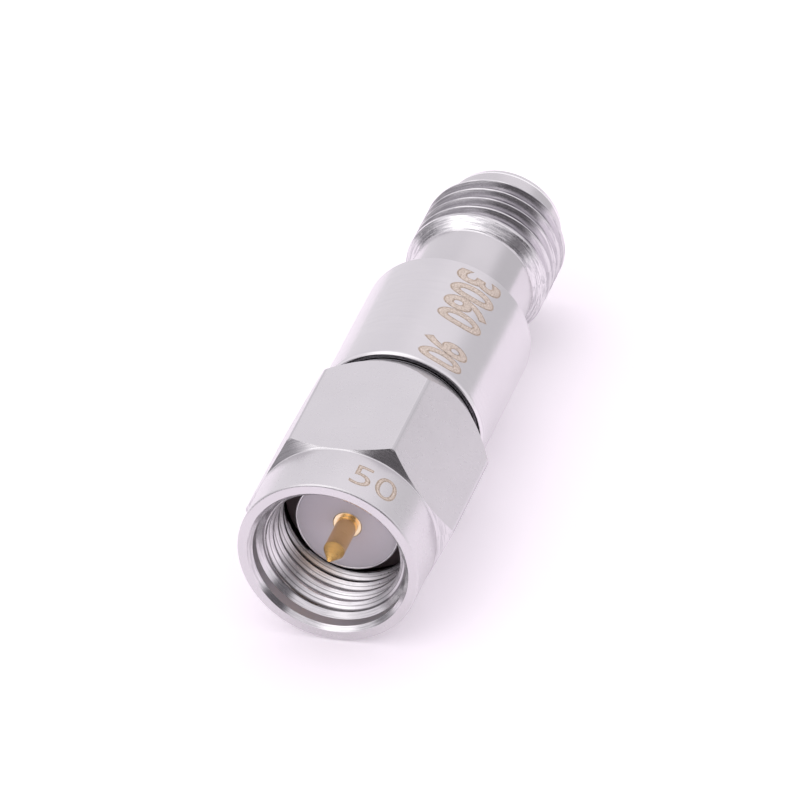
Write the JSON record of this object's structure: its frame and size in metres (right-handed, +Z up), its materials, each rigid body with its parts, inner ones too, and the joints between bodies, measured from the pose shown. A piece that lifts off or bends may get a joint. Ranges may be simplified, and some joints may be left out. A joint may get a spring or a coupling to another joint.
{
  "type": "in-line coaxial attenuator",
  "caption": "In-line coaxial attenuator: a plug with a free hexagonal coupling nut, a plain round middle sleeve, and a narrower threaded jack.",
  "frame": {"origin": "on the main axis at the plug's reference plane, the front face of the ferrule, where the centre pin leaves its insulator", "axes": "+X along the main axis from the plug towards the jack, +Z up with one flat of the coupling nut facing down, +Y across"},
  "size_m": [0.0263, 0.0092, 0.008],
  "materials": {
    "nut_steel": "satin turned stainless steel",
    "shell_steel": "turned stainless steel",
    "sleeve_steel": "fine brushed stainless steel",
    "gold_plate": "gold plated",
    "spring_bronze": "spring bronze",
    "carrier_gold": "gold plated brass",
    "white_insulator": "waxy white fluoropolymer",
    "black_rubber": "matte",
    "ceramic": "fired ceramic",
    "film": "dark resistive film"
  },
  "bodies": {
    "attenuator_body": {"male_shell": "shell_steel", "retaining_ring": "spring_bronze", "nut_gasket": "black_rubber", "male_dielectric": "white_insulator", "male_pin": "gold_plate", "front_bead": "white_insulator", "main_sleeve": "sleeve_steel", "female_shell": "shell_steel", "female_dielectric": "white_insulator", "female_contact": "gold_plate", "rear_bead": "white_insulator", "stack_washer": "spring_bronze", "carrier_upper": "carrier_gold", "carrier_lower": "carrier_gold", "attenuator_card": "ceramic", "ground_strip_left": "gold_plate", "ground_strip_right": "gold_plate", "resistor_film": "film", "input_tab": "gold_plate", "output_tab": "gold_plate"},
    "nut": {"coupling_nut": "nut_steel"}
  },
  "joints": [
    {"name": "nut_spin", "type": "hinge", "parent": "attenuator_body", "child": "nut", "pos_m": [0, 0, 0], "axis": [1, 0, 0], "continuous": true}
  ]
}
